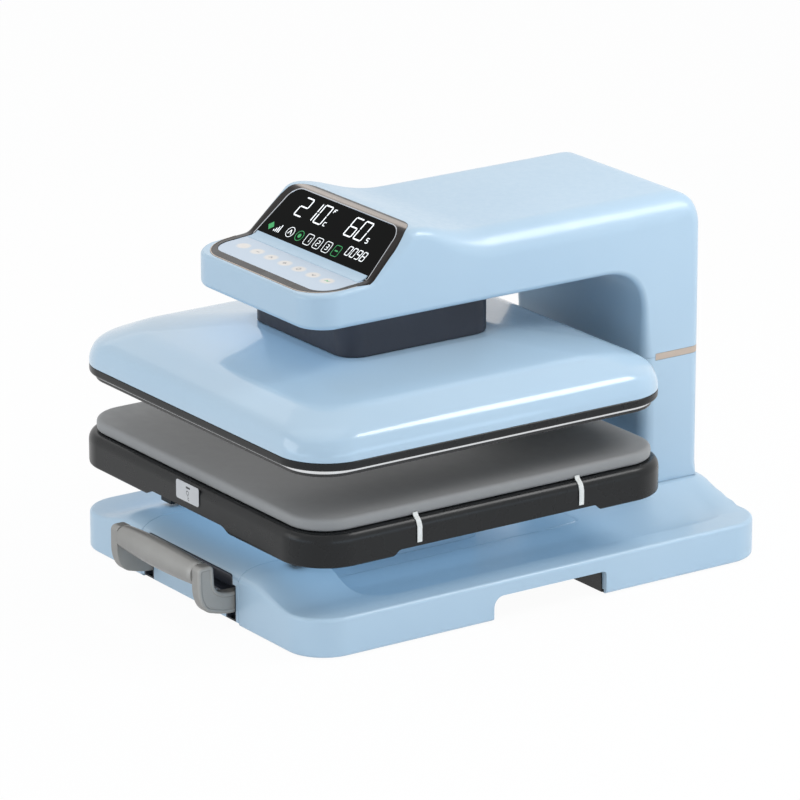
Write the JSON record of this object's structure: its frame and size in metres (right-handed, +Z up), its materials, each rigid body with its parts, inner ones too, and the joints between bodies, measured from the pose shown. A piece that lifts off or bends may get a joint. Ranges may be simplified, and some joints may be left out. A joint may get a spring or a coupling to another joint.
{
  "type": "automatic heat press",
  "caption": "Desktop automatic heat press with a C-shaped arm, a motor-driven hot plate with a sloping touch display, and a padded lower platen on a pull-out drawer.",
  "frame": {"origin": "on the ground, under the middle of the bounding box", "axes": "+X to the user's right, +Y from the handle towards the column at the back, +Z up"},
  "size_m": [0.3986, 0.5416, 0.3391],
  "materials": {
    "blue_housing": "satin",
    "charcoal_plastic": "fine grain",
    "black_plastic": "matt",
    "painted_steel": "powder coat",
    "champagne_trim": "satin",
    "bezel_metal": "satin",
    "touch_film": "gloss",
    "display_black": "gloss",
    "circuit_board": "matt",
    "bare_aluminium": "satin",
    "bare_steel": "machined",
    "bronze": "machined",
    "slate_plastic": "satin",
    "insulation": "fibrous",
    "silicone_pad": "matt",
    "label_grey": "matt",
    "white_elastic": "woven",
    "handle_grey": "satin"
  },
  "bodies": {
    "frame": {"base_shell": "blue_housing", "base_pan": "painted_steel", "foot_front_left": "black_plastic", "foot_front_right": "black_plastic", "foot_rear_left": "black_plastic", "foot_rear_right": "black_plastic", "lift_liner_left": "charcoal_plastic", "lift_liner_right": "charcoal_plastic", "steel_frame": "painted_steel", "column_shell": "blue_housing", "arm_shell": "blue_housing", "arm_bottom_cover": "blue_housing", "trim_band": "champagne_trim", "rear_panel": "charcoal_plastic", "power_inlet": "black_plastic", "switch_frame": "black_plastic", "power_board": "circuit_board", "panel_bezel": "bezel_metal", "touch_strip": "touch_film", "display_glass": "display_black", "display_board": "circuit_board", "gearbox": "bare_aluminium", "drive_motor": "bare_steel", "screw_bearing": "bare_steel", "collar_sleeve": "slate_plastic", "guide_bush_left": "bronze", "guide_bush_right": "bronze", "slide_rail_fixed_left": "bare_steel", "slide_rail_fixed_right": "bare_steel"},
    "press_head": {"cover_shell": "blue_housing", "cover_band": "charcoal_plastic", "heat_plate": "bare_aluminium", "heating_element": "bare_steel", "insulation_board": "insulation", "collar": "slate_plastic", "press_yoke": "painted_steel", "lead_nut": "bronze", "guide_rod_left": "bare_steel", "guide_rod_right": "bare_steel"},
    "screw": {"lead_screw": "bare_steel"},
    "drawer": {"drawer_cover": "blue_housing", "drawer_chassis": "bare_steel", "handle_pocket": "charcoal_plastic", "handle_pin_left": "bare_steel", "handle_pin_right": "bare_steel", "slide_rail_moving_left": "bare_steel", "slide_rail_moving_right": "bare_steel", "pedestal": "painted_steel", "tray_carrier": "painted_steel", "tray": "charcoal_plastic", "pad": "silicone_pad", "label_plate": "label_grey", "strap_right_front": "white_elastic", "strap_right_rear": "white_elastic", "strap_left_front": "white_elastic", "strap_left_rear": "white_elastic"},
    "handle": {"handle_leg_left": "handle_grey", "handle_leg_right": "handle_grey", "handle_grip": "handle_grey"},
    "rocker": {"rocker_switch": "black_plastic"}
  },
  "joints": [
    {"name": "press_slide", "type": "slide", "parent": "frame", "child": "press_head", "axis": [0, 0, -1], "range_m": [0, 0.037]},
    {"name": "screw_spin", "type": "hinge", "parent": "frame", "child": "screw", "pos_m": [0, -0.0332, 0.25], "axis": [0, 0, 1], "range_deg": [0, 2700]},
    {"name": "drawer_slide", "type": "slide", "parent": "frame", "child": "drawer", "axis": [0, -1, 0], "range_m": [0, 0.22]},
    {"name": "handle_swing", "type": "hinge", "parent": "drawer", "child": "handle", "pos_m": [0, -0.2232, 0.022], "axis": [-1, 0, 0], "range_deg": [0, 30]},
    {"name": "switch_rock", "type": "hinge", "parent": "frame", "child": "rocker", "pos_m": [0.03, 0.2648, 0.092], "axis": [-1, 0, 0], "range_deg": [0, 16]}
  ],
  "couplings": [
    {"joint": "screw_spin", "follows": "press_slide", "rad_per_m": 1256.6}
  ]
}
